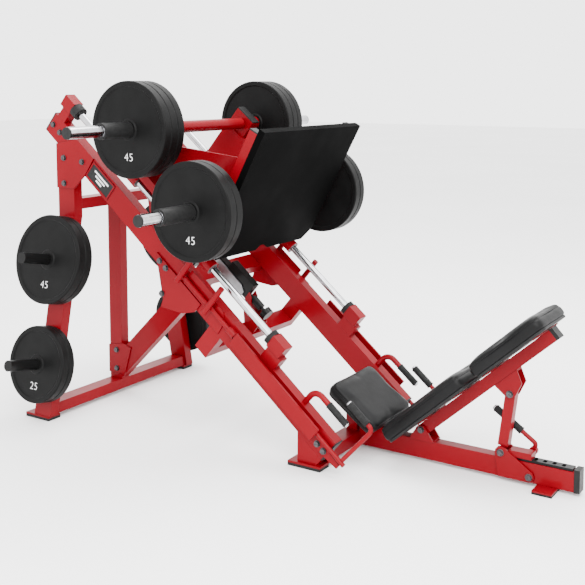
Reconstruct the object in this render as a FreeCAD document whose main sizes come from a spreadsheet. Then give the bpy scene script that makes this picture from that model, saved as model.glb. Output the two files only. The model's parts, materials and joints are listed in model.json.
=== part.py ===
"""Plate-loaded 45 degree leg press, modelled in millimetres with +Z up.

The origin is on the floor, under the middle of the machine's bounding box. +X runs from the weight end
to the head end of the backrest, and the user's left is -Y. Most pieces are placed in a local frame:
RAIL (x down the guide rods, z square to them), FOOT (the foot plate), SEAT, BACK and BRACE.
"""
import FreeCAD, Part
import math
import os
import re
from types import SimpleNamespace

import Sketcher
from FreeCAD import Placement, Rotation, Vector

DIMENSIONS = {
    "tube_wall": 3.0,
    "tube_width": 50.0,
    "tube_depth": 76.0,
    "gusset_thickness": 8.0,
    "rail_depth": 102.0,
    "rail_length": 1957.0,
    "rail_track": 310.0,
    "rail_drop": 184.0,
    "rail_slope": 40.14,
    "rail_cap": 6.0,
    "rod_radius": 16.0,
    "rod_length": 1420.0,
    "housing_width": 56.0,
    "bumper_radius": 33.0,
    "leg_depth": 100.0,
    "leg_kink": 915.0,
    "leg_splay": 0.2,
    "floor_gap": 20.0,
    "pad_thickness": 12.0,
    "beam_base": 14.0,
    "beam_length": 904.0,
    "guide_length": 135.0,
    "guide_radius": 30.0,
    "bushing_radius": 24.0,
    "slide_clearance": 0.3,
    "upright_depth": 113.0,
    "upright_height": 240.0,
    "lower_upright_height": 212.0,
    "horn_radius": 24.5,
    "root_radius": 31.0,
    "collar_radius": 34.0,
    "cross_radius": 26.5,
    "plate_radius": 202.5,
    "plate_thickness": 41.3,
    "plate_bore": 25.3,
    "small_plate_radius": 172.5,
    "small_plate_thickness": 35.0,
    "foot_height": 610.0,
    "foot_width": 770.0,
    "foot_thickness": 30.0,
    "foot_tube": 40.0,
    "foot_chamfer": 55.0,
    "foot_notch": 45.0,
    "seat_slope": 35.6,
    "seat_length": 256.0,
    "seat_width": 334.0,
    "cushion_thickness": 60.0,
    "back_angle": 41.6,
    "back_cushion": 66.0,
    "back_beam_depth": 48.0,
    "back_beam_length": 719.0,
    "pin_radius": 8.0,
    "pin_clearance": 0.05,
    "strut_width": 40.0,
    "strut_length": 230.0,
    "stop_shaft_radius": 9.0,
    "stop_shaft_length": 1045.0,
    "stop_block_radius": 15.0,
    "peg_radius": 12.5,
    "peg_length": 148.0,
    "handle_radius": 12.5,
    "grip_radius": 15.5,
    "grip_length": 112.0,
    "lever_radius": 9.0,
    "bolt_radius": 12.0,
    "bolt_head": 7.0,
    "washer_radius": 14.0,
    "washer_thickness": 2.0,
    "damper_radius": 24.0,
    "damper_rod_radius": 8.0,
}
size = SimpleNamespace(**DIMENSIONS)

SIDES = (-1, 1)
X_RUN, Y_RUN, Z_RUN = range(3)

doc = FreeCAD.newDocument("LegPress")
sheet = doc.addObject("Spreadsheet::Sheet", "Sizes")
for row, (alias, number) in enumerate(DIMENSIONS.items(), start=1):
    sheet.set(f"A{row}", alias)
    sheet.set(f"B{row}", str(number))
    sheet.setAlias(f"B{row}", alias)
doc.recompute()

parts = []


# ---- Local frames -------------------------------------------------------------------------------

def tilted_frame(x, z, angle):
    """Frame whose x axis is turned down from the row's +X by angle, in degrees, about +Y."""
    return Placement(Vector(x, 0, z), Rotation(Vector(0, 1, 0), angle))


WORLD = Placement()
RAIL = tilted_frame(78.9, 495.8, size.rail_slope)
FOOT = RAIL * tilted_frame(-398, 54, -12.2)
SEAT = tilted_frame(274, 307.5, size.seat_slope)
BACK_PIVOT = Vector(612.7, 0, 134.5)
BACK = tilted_frame(BACK_PIVOT.x, BACK_PIVOT.z, -size.back_angle)
BRACE = tilted_frame(-963, 195, -44.5)
REAR_X = -1051.0
LEG_TOP = 1300.0


def rail_point(along, above):
    """Row (x, z) of a point given down the rods and square to them."""
    spot = RAIL.multVec(Vector(along, 0, above))
    return spot.x, spot.z


def foot_point(out, up):
    """RAIL (x, z) of a point given in the foot plate's frame."""
    spot = RAIL.inverse().multVec(FOOT.multVec(Vector(out, 0, up)))
    return spot.x, spot.z


def leg_frame(side, height):
    """Frame on a splayed leg's centre line at a height, with z pointing square out of the leg."""
    spread = size.rail_track + size.leg_splay * (size.leg_kink - height)
    outward = Vector(0, side, size.leg_splay)
    return Placement(Vector(REAR_X, side * spread, height), Rotation(Vector(0, 0, 1), outward))


# ---- Shape helpers ------------------------------------------------------------------------------

def in_sheet(text):
    """Put the sheet's name in front of each alias of an expression."""
    return re.sub(r"[a-z]\w*", lambda word: "Sizes." + word.group(), text)


def part(item):
    """Mark an object as a finished sub-part, written under its own label."""
    parts.append(item)
    return item


def block(name, frame, low, spans):
    """Bar from its low corner; spans are sheet expressions along the frame's x, y and z."""
    item = doc.addObject("Part::Box", name)
    for edge, span in zip(("Length", "Width", "Height"), spans):
        item.setExpression(edge, in_sheet(span))
    item.Placement = frame * Placement(Vector(*low), Rotation())
    return item


def tube(name, frame, low, spans, run):
    """Hollow bar, open at both ends of the axis it runs along."""
    wall = [0.0 if axis == run else size.tube_wall for axis in range(3)]
    inner_low = [edge + step for edge, step in zip(low, wall)]
    inner_spans = [span if step == 0 else f"{span} - 2 * tube_wall" for span, step in zip(spans, wall)]
    outside = block(name + "_outside", frame, low, spans)
    return cut(name, outside, block(name + "_inside", frame, inner_low, inner_spans))


def cylinder(name, frame, start, direction, radius, length):
    """Round bar from a start point along a direction, both in the frame."""
    item = doc.addObject("Part::Cylinder", name)
    item.setExpression("Radius", in_sheet(radius))
    item.setExpression("Height", in_sheet(length))
    item.Placement = frame * Placement(Vector(*start), Rotation(Vector(0, 0, 1), Vector(*direction)))
    return item


def pipe(name, frame, start, direction, radii, length):
    """Round tube with an outer and an inner radius."""
    outside, inside = radii
    body = cylinder(name + "_outside", frame, start, direction, outside, length)
    return cut(name, body, cylinder(name + "_inside", frame, start, direction, inside, length))


def cut(name, base, *tools):
    """Base with each tool taken away in turn."""
    for step, tool in enumerate(tools, start=1):
        last = step == len(tools)
        item = doc.addObject("Part::Cut", name if last else f"{name}_step_{step}")
        item.Base = base
        item.Tool = tool
        base = item
    return base


def fused(name, pieces):
    """Pieces welded into one solid."""
    item = doc.addObject("Part::MultiFuse", name)
    item.Shapes = pieces
    return item


def group(name, pieces):
    """Separate solids that share one name."""
    item = doc.addObject("Part::Compound", name)
    item.Links = pieces
    return item


def origin_plane(body, role):
    """One of the body's own origin planes."""
    return next(item for item in body.Origin.OriginFeatures if item.Role == role)


def sketch_on(body, role, name):
    """Empty sketch on one of the body's own origin planes."""
    sketch = body.newObject("Sketcher::SketchObject", name)
    sketch.AttachmentSupport = [(origin_plane(body, role), "")]
    sketch.MapMode = "FlatFace"
    return sketch


def draw_outline(sketch, outline):
    """Closed straight-sided outline."""
    corners = [Vector(across, up, 0) for across, up in outline]
    for here, there in zip(corners, corners[1:] + corners[:1]):
        sketch.addGeometry(Part.LineSegment(here, there), False)


def plate(name, frame, outline, y_low, thickness, holes=()):
    """Flat plate padded from y_low towards +y; holes are (x, z, radius)."""
    body = doc.addObject("PartDesign::Body", name)
    sketch = sketch_on(body, "XZ_Plane", name + "_outline")
    draw_outline(sketch, outline)
    for x, z, radius in holes:
        sketch.addGeometry(Part.Circle(Vector(x, z, 0), Vector(0, 0, 1), radius), False)
    pad = body.newObject("PartDesign::Pad", name + "_pad")
    pad.Profile = sketch
    pad.setExpression("Length", in_sheet(thickness))
    pad.Reversed = True
    body.Placement = frame * Placement(Vector(0, y_low, 0), Rotation())
    return body


def turned(name, placement, profile):
    """Solid turned about its own z axis from (radius, height) points."""
    body = doc.addObject("PartDesign::Body", name)
    sketch = sketch_on(body, "XZ_Plane", name + "_profile")
    draw_outline(sketch, profile)
    spin = body.newObject("PartDesign::Revolution", name + "_spin")
    spin.Profile = sketch
    spin.ReferenceAxis = (sketch, ["V_Axis"])
    spin.Angle = 360
    body.Placement = placement
    return body


def side_low(side, inner, width):
    """Low y of a piece whose inner face is at that distance from the middle plane."""
    return inner if side > 0 else -inner - width


def bent_rod(name, placement, points, radius, bend):
    """Round rod swept along straight legs joined by bends, in the body's x-z plane from its origin."""
    body = doc.addObject("PartDesign::Body", name)
    path = sketch_on(body, "XZ_Plane", name + "_path")
    here = Vector(0, 0, 0)
    corners = [Vector(x, z, 0) for x, z in points]
    for corner, after in zip(corners, corners[1:] + [None]):
        if after is None:
            path.addGeometry(Part.LineSegment(here, corner), False)
            break
        into = (corner - here).normalize()
        out = (after - corner).normalize()
        turn = into.getAngle(out)
        setback = bend * math.tan(turn / 2)
        first = corner - into * setback
        last = corner + out * setback
        middle = corner + (out - into).normalize() * bend * (1 / math.cos(turn / 2) - 1)
        path.addGeometry(Part.LineSegment(here, first), False)
        path.addGeometry(Part.Arc(first, middle, last), False)
        here = last
    ring = sketch_on(body, "XY_Plane", name + "_ring")
    ring.addGeometry(Part.Circle(Vector(0, 0, 0), Vector(0, 0, 1), getattr(size, radius)), False)
    ring.addConstraint(Sketcher.Constraint("Radius", 0, getattr(size, radius)))
    ring.setExpression("Constraints[0]", in_sheet(radius))
    doc.recompute()
    sweep = body.newObject("PartDesign::AdditivePipe", name + "_sweep")
    sweep.Profile = ring
    sweep.Spine = path
    body.Placement = placement
    return body


def bolt(name, frame, spot, outward):
    """Hexagon head on its washer, seated on the face at the spot."""
    seat = cylinder(name + "_washer", frame, spot, outward, "washer_radius", "washer_thickness")
    head = doc.addObject("Part::Prism", name + "_head")
    head.Polygon = 6
    head.setExpression("Circumradius", in_sheet("bolt_radius"))
    head.setExpression("Height", in_sheet("bolt_head"))
    lift = Vector(*outward).normalize() * size.washer_thickness
    turn = Rotation(Vector(0, 0, 1), Vector(*outward))
    head.Placement = frame * Placement(Vector(*spot) + lift, turn)
    return fused(name, [seat, head])


# ---- Rails and rear frame -----------------------------------------------------------------------

RAIL_TOP = size.rail_depth - size.rail_drop
RAIL_START = -1481.0
RAIL_INNER = size.rail_track - size.tube_width / 2
RAIL_OUTER = size.rail_track + size.tube_width / 2
RAIL_BOX = ("rail_length", "tube_width", "rail_depth")

for side, label in zip(SIDES, ("rail_left", "rail_right")):
    low = (RAIL_START, side_low(side, RAIL_INNER, size.tube_width), -size.rail_drop)
    part(tube(label, RAIL, low, RAIL_BOX, X_RUN))


POST_FRONT = REAR_X + size.tube_depth / 2
HALF_TUBE = size.tube_width / 2
CAP_LIP = 0.5


def make_end_caps():
    """Plastic plugs on the rails' four ends and on the base beam's end."""
    caps = []
    for side in SIDES:
        y_low = side_low(side, RAIL_INNER, size.tube_width)
        for end, x_low in enumerate((RAIL_START - size.rail_cap, RAIL_START + size.rail_length)):
            low = (x_low, y_low, -size.rail_drop)
            caps.append(block(f"rail_cap_{side}_{end}", RAIL, low, ("rail_cap", "tube_width", "rail_depth")))
    low = (BEAM_START + size.beam_length, -HALF_TUBE - CAP_LIP, size.beam_base - 2)
    spans = ("22", f"tube_width + {2 * CAP_LIP}", "tube_depth + 12")
    caps.append(block("beam_cap", WORLD, low, spans))
    return part(group("tube_end_caps", caps))


def leg_blank(name, side, inset):
    """Leg outline padded along X, drawn in by the inset on every side wall."""
    spread = size.leg_splay * (size.leg_kink - size.floor_gap)
    inner = RAIL_INNER + inset
    outer = RAIL_OUTER - inset
    outline = [
        (inner, size.leg_kink), (inner + spread, size.floor_gap), (outer + spread, size.floor_gap),
        (outer, size.leg_kink), (outer, LEG_TOP), (inner, LEG_TOP),
    ]
    body = doc.addObject("PartDesign::Body", name)
    sketch = sketch_on(body, "YZ_Plane", name + "_outline")
    draw_outline(sketch, [(side * y, z) for y, z in outline])
    pad = body.newObject("PartDesign::Pad", name + "_pad")
    pad.Profile = sketch
    pad.setExpression("Length", in_sheet(f"leg_depth - {2 * inset}"))
    body.Placement = Placement(Vector(REAR_X - size.leg_depth / 2 + inset, 0, 0), Rotation())
    return body


def make_rear_legs():
    """Hollow rear legs: upright under the rails, then splayed outwards to the floor plates."""
    low = (RAIL_START - 200, -600, -size.rail_drop)
    above_rail = block("rail_clearance", RAIL, low, ("900", "1200", "500"))
    legs = []
    for side in SIDES:
        outside = leg_blank(f"leg_outside_{side}", side, 0)
        inside = leg_blank(f"leg_inside_{side}", side, size.tube_wall)
        legs.append(cut(f"leg_{side}", outside, inside, above_rail))
    return part(group("rear_legs", legs))


def make_rear_cross_tubes():
    """Base tube on the floor plates and the tie between the legs' upright parts."""
    x_low = REAR_X - size.tube_depth / 2
    base_low = (x_low, -480, size.floor_gap)
    base = tube("base_tube_blank", WORLD, base_low, ("tube_depth", "960", "tube_width"), Y_RUN)
    leg_tools = [leg_blank(f"leg_tool_{side}", side, 0) for side in SIDES]
    base_tube = cut("rear_base_tube", base, *leg_tools)
    tie_low = (x_low, -RAIL_INNER, 944)
    tie_spans = ("tube_depth", "2 * rail_track - tube_width", "tube_width")
    tie = tube("rear_tie_tube", WORLD, tie_low, tie_spans, Y_RUN)
    return part(group("rear_cross_tubes", [base_tube, tie]))


def make_centre_post():
    """Post between the rear base tube and the tie above it."""
    low = (REAR_X - size.tube_depth / 2, -HALF_TUBE, size.floor_gap + size.tube_width)
    height = "944 - floor_gap - tube_width"
    return part(tube("centre_post", WORLD, low, ("tube_depth", "tube_width", height), Z_RUN))


def make_post_bracket():
    """Two cheek plates that bolt the brace to the centre post."""
    outline = [(-1092, 98), (-1092, 236), (-1000, 250), (-948, 236), (-990, 98)]
    cheeks = [
        plate(f"post_cheek_{side}", WORLD, outline, side_low(side, HALF_TUBE, 6), "6")
        for side in SIDES
    ]
    return part(group("post_bracket", cheeks))


CROSS_U = -540.0
CROSS_TOP = -size.rail_drop


def make_brace():
    """Sloping centre brace from the post up to the cross tube under the rails."""
    blank = tube("brace_blank", BRACE, (-120, -HALF_TUBE, -49), ("860", "tube_width", "98"), X_RUN)
    behind = block("behind_post_face", WORLD, (POST_FRONT - 400, -100, -200), ("400", "200", "900"))
    low = (CROSS_U, -200, CROSS_TOP - size.tube_width)
    past = block("past_cross_tube", RAIL, low, ("400", "400", "400"))
    return part(cut("centre_brace", blank, behind, past))


def make_under_rail_cross_tubes():
    """Cross tube under both rails, then two hangers with a tie that carries the damper's bracket."""
    low = (CROSS_U, -RAIL_OUTER, CROSS_TOP - size.tube_width)
    spans = ("tube_depth", "2 * rail_track + tube_width", "tube_width")
    pieces = [tube("mid_cross_tube", RAIL, low, spans, Y_RUN)]
    for side in SIDES:
        low = (-241, side_low(side, RAIL_INNER, size.tube_width), -308)
        pieces.append(tube(f"hanger_{side}", RAIL, low, ("72", "tube_width", "308 - rail_drop"), Z_RUN))
    low = (-241, -RAIL_INNER, -308)
    spans = ("72", "2 * rail_track - tube_width", "tube_width")
    pieces.append(tube("hanger_tie", RAIL, low, spans, Y_RUN))
    outline = [
        (-235, -258), (-175, -258), (-175, -190), (-210, -177), (-262, -168), (-285, -140), (-308, -130),
        (-308, -165), (-290, -200),
    ]
    for side in SIDES:
        pieces.append(plate(f"damper_cheek_{side}", RAIL, outline, side_low(side, 20.5, 6), "6"))
    return part(group("under_rail_cross_tubes", pieces))


TOP_GUSSET_BOLTS = [(-1054, 1185), (-939, 1171), (-1054, 1068)]
MID_GUSSET_BOLTS = [(-604, -160), (-560, -160), (-505, -262)]


def make_gussets():
    """Gusset plates on the outer faces: legs to rails at the top, cross tube to rails in the middle."""
    top_outline = [
        (-1102, 1250), (-1102, 1046), (-993, 1046), (-923, 1112), rail_point(-1171, RAIL_TOP),
        rail_point(-1300, RAIL_TOP),
    ]
    mid_outline = [
        (-640, -144), (-604, -184), (-568, -200), (-487, -271), (-473, -313), (-370, -245), (-330, -192),
        (-330, -144),
    ]
    pieces = []
    for side in SIDES:
        y_low = side_low(side, RAIL_OUTER, size.gusset_thickness)
        pieces.append(plate(f"top_gusset_{side}", WORLD, top_outline, y_low, "gusset_thickness"))
        pieces.append(plate(f"mid_gusset_{side}", RAIL, mid_outline, y_low, "gusset_thickness"))
    return part(group("gusset_plates", pieces))


# ---- Guide rods ---------------------------------------------------------------------------------

ROD_TOP_U = -1415.0
ROD_FOOT_U = ROD_TOP_U + size.rod_length
UPPER_BUMPER = 39.0
LOWER_BUMPER = 20.0


def make_rod_brackets():
    """Housings that hold both rods' ends, each on a block standing on the rail."""
    ends = [
        {"head": ROD_TOP_U - 70, "head_length": "70", "stem": -1465, "stem_length": "50"},
        {"head": ROD_FOOT_U, "head_length": "75", "stem": ROD_FOOT_U + 8, "stem_length": "82"},
    ]
    stem_height = "rail_drop - rail_depth - housing_width / 2"
    pieces = []
    half = size.housing_width / 2
    for side in SIDES:
        y_head = side_low(side, size.rail_track - half, size.housing_width)
        y_stem = side_low(side, RAIL_INNER, size.tube_width)
        for number, end in enumerate(ends):
            key = f"{side}_{number}"
            head_spans = (end["head_length"], "housing_width", "housing_width")
            head = block(f"rod_head_{key}", RAIL, (end["head"], y_head, -half), head_spans)
            stem_spans = (end["stem_length"], "tube_width", stem_height)
            stem = block(f"rod_stem_{key}", RAIL, (end["stem"], y_stem, RAIL_TOP), stem_spans)
            pieces.append(fused(f"rod_bracket_{key}", [head, stem]))
    return part(group("rod_brackets", pieces))


def make_guide_rods():
    """Chromed rods that the sled's bearings run on."""
    rods = []
    for side in SIDES:
        start = (ROD_TOP_U, side * size.rail_track, 0)
        rods.append(cylinder(f"rod_{side}", RAIL, start, (1, 0, 0), "rod_radius", "rod_length"))
    return part(group("guide_rods", rods))


def make_rod_bumpers():
    """Rubber rings that stop the sled at both ends of the rods."""
    radii = ("bumper_radius", "rod_radius")
    ends = {"upper": (ROD_TOP_U, UPPER_BUMPER), "lower": (ROD_FOOT_U - LOWER_BUMPER, LOWER_BUMPER)}
    pieces = []
    for side in SIDES:
        for key, (along, length) in ends.items():
            start = (along, side * size.rail_track, 0)
            pieces.append(pipe(f"{key}_bumper_{side}", RAIL, start, (1, 0, 0), radii, str(length)))
    return part(group("rod_bumpers", pieces))


# ---- Feet, base beam and seat -------------------------------------------------------------------

BEAM_START = 327.0
BEAM_TOP = size.beam_base + size.tube_depth
CROSSBAR_X = BEAM_START - size.tube_depth


def make_front_cross_frame():
    """Stub posts under the rails' lower ends and the crossbar between them."""
    rail_end = RAIL_START + size.rail_length
    outline = [
        (214, size.floor_gap), rail_point(332, -size.rail_drop), rail_point(rail_end, -size.rail_drop),
        (305, size.floor_gap),
    ]
    pieces = []
    for side in SIDES:
        y_low = side_low(side, RAIL_INNER, size.tube_width)
        pieces.append(plate(f"rail_foot_post_{side}", WORLD, outline, y_low, "tube_width"))
    low = (CROSSBAR_X, -RAIL_INNER, size.floor_gap)
    spans = ("tube_depth", "2 * rail_track - tube_width", "tube_width")
    pieces.append(tube("front_crossbar", WORLD, low, spans, Y_RUN))
    return part(group("front_cross_frame", pieces))


SIDE_FEET = [
    {"x": -1153.0, "y": 481.0, "length": "146"},
    {"x": 176.0, "y": 313.0, "length": "151"},
]
FOOT_WIDTH = 72.0
FRONT_FOOT_LOW = (1093.0, -92.0)
FRONT_RUBBER = 8.0


def make_feet():
    """Steel foot plates, each on its own rubber pad."""
    steel = []
    rubber = []
    for number, foot in enumerate(SIDE_FEET):
        for side in SIDES:
            key = f"{number}_{side}"
            y_low = side * foot["y"] - FOOT_WIDTH / 2
            plan = (foot["length"], str(FOOT_WIDTH))
            pad_low = (foot["x"], y_low, 0)
            steel_low = (foot["x"], y_low, size.pad_thickness)
            rubber.append(block(f"rubber_{key}", WORLD, pad_low, (*plan, "pad_thickness")))
            steel.append(block(f"steel_{key}", WORLD, steel_low, (*plan, "floor_gap - pad_thickness")))
    plan = ("77", "184")
    rubber.append(block("rubber_front", WORLD, (*FRONT_FOOT_LOW, 0), (*plan, f"{FRONT_RUBBER}")))
    steel_low = (*FRONT_FOOT_LOW, FRONT_RUBBER)
    steel.append(block("steel_front", WORLD, steel_low, (*plan, f"beam_base - {FRONT_RUBBER}")))
    part(group("foot_plates", steel))
    part(group("foot_pads", rubber))


def make_base_beam():
    """Long tube on the floor's centre line that carries the seat, the backrest and the trolley."""
    low = (BEAM_START, -HALF_TUBE, size.beam_base)
    return part(tube("base_beam", WORLD, low, ("beam_length", "tube_width", "tube_depth"), X_RUN))


RACK_START = 1005.0


def make_adjuster_rack():
    """Notched strip on the base beam that the trolley locks into."""
    strip = block("rack_strip", WORLD, (RACK_START, -20, BEAM_TOP), ("220", "40", "10"))
    notches = []
    for step in range(5):
        low = (RACK_START + 30 + 36 * step, -11, BEAM_TOP + 4)
        notches.append(block(f"rack_notch_{step}", WORLD, low, ("14", "22", "6")))
    return part(cut("adjuster_rack", strip, *notches))


def make_seat():
    """Seat cushion on a sloping rail with two short posts."""
    width = size.seat_width
    low = (0, -width / 2, -size.cushion_thickness)
    part(block("seat_pad", SEAT, low, ("seat_length", "seat_width", "cushion_thickness")))
    bar_top = -size.cushion_thickness
    bar = block("seat_bar", SEAT, (14, -HALF_TUBE, bar_top - 25), ("225", "tube_width", "25"))
    wings = []
    for along in (30, 180):
        wings.append(block(f"seat_wing_{along}", SEAT, (along, -110, bar_top - 6), ("40", "220", "6")))
    above = block("above_seat_bar", SEAT, (-300, -200, bar_top - 10), ("900", "400", "300"))
    crossbar_top = size.floor_gap + size.tube_width
    front_post = block("seat_front_post", WORLD, (262, -HALF_TUBE, crossbar_top), ("50", "tube_width", "200"))
    rear_post = block("seat_rear_post", WORLD, (395, -HALF_TUBE, BEAM_TOP), ("45", "tube_width", "120"))
    posts = [cut(f"seat_post_{n}", blank, above) for n, blank in enumerate((front_post, rear_post))]
    return part(fused("seat_frame", [bar] + wings + posts))


# ---- Storage horns, plates, handles and small fittings ------------------------------------------

def weight_plate(name, placement, radius, thickness):
    """Rubber-coated plate with a raised hub and rim, bored for a 50 mm horn."""
    dish = 5.0
    lip = 3.5
    slope = 6.0
    hub = 40.0
    rim = radius - 20
    profile = [
        (size.plate_bore, 0), (hub, 0), (hub + slope, dish), (rim - slope, dish), (rim, 0), (radius - lip, 0),
        (radius, lip), (radius, thickness - lip), (radius - lip, thickness), (rim, thickness),
        (rim - slope, thickness - dish), (hub + slope, thickness - dish), (hub, thickness),
        (size.plate_bore, thickness),
    ]
    return turned(name, placement, profile)


STORAGE_HEIGHTS = {"large": 709.1, "small": 244.6}
LEG_SKIN = size.tube_width / 2 * math.cos(math.atan(size.leg_splay))
STORAGE_REACH = 240.0
PLATE_GAP = 0.25
FLANGE = 8.0


def make_storage():
    """Horns on the splayed legs, with two spare plates on each."""
    horns = []
    stacks = []
    for side in SIDES:
        for kind, height in STORAGE_HEIGHTS.items():
            frame = leg_frame(side, height)
            key = f"{kind}_{side}"
            base = LEG_SKIN + 0.05
            foot = (0, 0, base)
            flange = cylinder(f"storage_flange_{key}", frame, foot, (0, 0, 1), "root_radius + 8", f"{FLANGE}")
            horn = cylinder(f"storage_bar_{key}", frame, foot, (0, 0, 1), "horn_radius", str(STORAGE_REACH))
            horns.append(fused(f"storage_{key}", [flange, horn]))
            large = kind == "large"
            radius = size.plate_radius if large else size.small_plate_radius
            thickness = size.plate_thickness if large else size.small_plate_thickness
            for layer in range(2):
                height_up = base + FLANGE + PLATE_GAP + layer * (thickness + PLATE_GAP)
                lift = Placement(Vector(0, 0, height_up), Rotation())
                stacks.append(weight_plate(f"spare_{key}_{layer}", frame * lift, radius, thickness))
    part(group("storage_horns", horns))
    part(group("storage_plates", stacks))


def make_name_plate():
    """Blank badge on the left rail's outer face."""
    return part(block("name_plate", RAIL, (-1163, -RAIL_OUTER - 3, -175), ("165", "3", "82")))


GRAB_U = 272.0
GRAB_RISE = 79.0
GRAB_RUN = 78.0


def make_grab_handles():
    """Fixed hand grips beside the seat: a bent tube on each rail with a rubber sleeve."""
    tubes = []
    grips = []
    for side in SIDES:
        foot = RAIL * Placement(Vector(GRAB_U, side * size.rail_track, RAIL_TOP), Rotation())
        path = [(0, GRAB_RISE), (GRAB_RUN, GRAB_RISE)]
        tubes.append(bent_rod(f"grab_tube_{side}", foot, path, "handle_radius", 40))
        start = (GRAB_U + GRAB_RUN, side * size.rail_track, RAIL_TOP + GRAB_RISE)
        grips.append(cylinder(f"grab_grip_{side}", RAIL, start, (1, 0, 0), "grip_radius", "grip_length"))
    part(group("grab_handles", tubes))
    part(group("grab_grips", grips))


# ---- Safety stops -------------------------------------------------------------------------------

STOP_V = -110.0
STOP_Y = RAIL_OUTER + 15.0
STOP_START = -485.0
BLOCK_SPOTS = (-160.0, 320.0)
PEG_SPOTS = (-470.0, -284.0)
TAB_SPOTS = (-100.0, 120.0, 285.0)


def make_stop_blocks():
    """Pillow blocks on the rails' outer faces that carry the stop shafts, and the carrier straps."""
    pieces = []
    for side in SIDES:
        for spot in BLOCK_SPOTS:
            key = f"{side}_{int(spot)}"
            radius = size.stop_block_radius
            low = (spot, side_low(side, RAIL_OUTER, STOP_Y - RAIL_OUTER), STOP_V - radius)
            foot = block(f"stop_foot_{key}", RAIL, low, ("40", "15", "2 * stop_block_radius"))
            start = (spot, side * STOP_Y, STOP_V)
            eye = cylinder(f"stop_eye_{key}", RAIL, start, (1, 0, 0), "stop_block_radius", "40")
            bore_radius = "stop_shaft_radius + pin_clearance"
            bore = cylinder(f"stop_bore_{key}", RAIL, start, (1, 0, 0), bore_radius, "40")
            blank = fused(f"stop_block_blank_{key}", [foot, eye])
            pieces.append(cut(f"stop_block_{key}", blank, bore))
    return part(group("stop_blocks", pieces))


def make_stop_guards():
    """Static plates beside the rails: guard behind the pegs, wedge and lower carrier strap."""
    guard = [(-455, -64), (-303, -64), (-303, -140), (-455, -140)]
    wedge = [(-268, -82), (-231, -82), (-196, -110), (-188, -176), (-268, -176)]
    strap = [(405, -124), (470, -124), (545, -132), (545, -150), (470, -160), (405, -160)]
    pieces = []
    for side in SIDES:
        for label, outline, thickness in (("guard", guard, 5), ("wedge", wedge, 5), ("strap", strap, 10)):
            y_low = side_low(side, RAIL_OUTER, thickness)
            pieces.append(plate(f"stop_{label}_{side}", RAIL, outline, y_low, str(thickness)))
    return part(group("stop_guards", pieces))


def make_stop_shaft(side, label):
    """Turning shaft with its two pegs and the long flat bar, welded together."""
    start = (STOP_START, side * STOP_Y, STOP_V)
    shaft = cylinder(f"{label}_shaft", RAIL, start, (1, 0, 0), "stop_shaft_radius", "stop_shaft_length")
    pegs = []
    for number, along in enumerate(PEG_SPOTS):
        foot = (along, side * (STOP_Y + 20), -139)
        pegs.append(cylinder(f"{label}_peg_{number}", RAIL, foot, (0, 0, 1), "peg_radius", "peg_length"))
    reach = size.stop_block_radius + 1
    bar_low = (-110, side_low(side, STOP_Y + reach, 10), -138)
    bar = block(f"{label}_bar", RAIL, bar_low, ("510", "10", "62"))
    tabs = []
    for number, along in enumerate(TAB_SPOTS):
        low = (along, side_low(side, STOP_Y, reach), STOP_V - 8)
        tabs.append(block(f"{label}_tab_{number}", RAIL, low, ("30", f"{reach}", "16")))
    return part(fused(label, [shaft, bar] + pegs + tabs))


LEVER_U = 540.0
LEVER_TOP = Vector(0, RAIL_INNER + 3 - STOP_Y, 168)
LEVER_RUN = 30.0


def make_release_lever(side, key):
    """Hand lever at the stop shaft's lower end, with a grip that runs back up beside the seat."""
    root = Vector(LEVER_U, side * STOP_Y, STOP_V)
    rise = Vector(0, side * LEVER_TOP.y, LEVER_TOP.z)
    upward = rise.normalize()
    reach = math.hypot(LEVER_TOP.y, LEVER_TOP.z)
    turn = Rotation(Vector(-1, 0, 0), Vector(0, 0, 0), upward, "ZXY")
    start = root + upward * (size.stop_shaft_radius + 0.05)
    placement = RAIL * Placement(start, turn)
    rise_left = reach - size.stop_shaft_radius
    path = [(0, rise_left), (LEVER_RUN, rise_left)]
    part(bent_rod(f"release_lever_{key}", placement, path, "lever_radius", 20))
    tip = start + upward * rise_left + Vector(-LEVER_RUN, 0, 0)
    part(cylinder(f"lever_grip_{key}", RAIL, tuple(tip), (-1, 0, 0), "grip_radius", "grip_length"))


# ---- Sled ---------------------------------------------------------------------------------------

HORNS = [
    {"spot": (-984.5, 265.9), "stack": 391.8, "count": 3, "collar": 675.0, "tip": 859.0},
    {"spot": (-523.0, 241.6), "stack": 452.0, "count": 2, "collar": 721.0, "tip": 837.0},
]
COLLAR_GROOVE = 3.0
GUIDE_STARTS = (-1060.0, -530.0)
SLED_BEAM_LOW = 30.0
SLED_BEAM_TOP = 70.0
WEB_THICKNESS = 10.0
WEB_INNER = RAIL_INNER - WEB_THICKNESS
UPPER_UPRIGHT_U = -1048.0
LOWER_UPRIGHT_U = -575.0


def make_guides():
    """Bearing tubes round the guide rods and the plastic bushings inside them."""
    housings = []
    bushings = []
    for side in SIDES:
        for start in GUIDE_STARTS:
            key = f"{side}_{int(start)}"
            spot = (start, side * size.rail_track, 0)
            outer = ("guide_radius", "bushing_radius")
            inner = ("bushing_radius", "rod_radius + slide_clearance")
            housings.append(pipe(f"guide_{key}", RAIL, spot, (1, 0, 0), outer, "guide_length"))
            bushings.append(pipe(f"bushing_{key}", RAIL, spot, (1, 0, 0), inner, "guide_length"))
    part(group("guide_housings", housings))
    part(group("guide_bushings", bushings))


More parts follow.
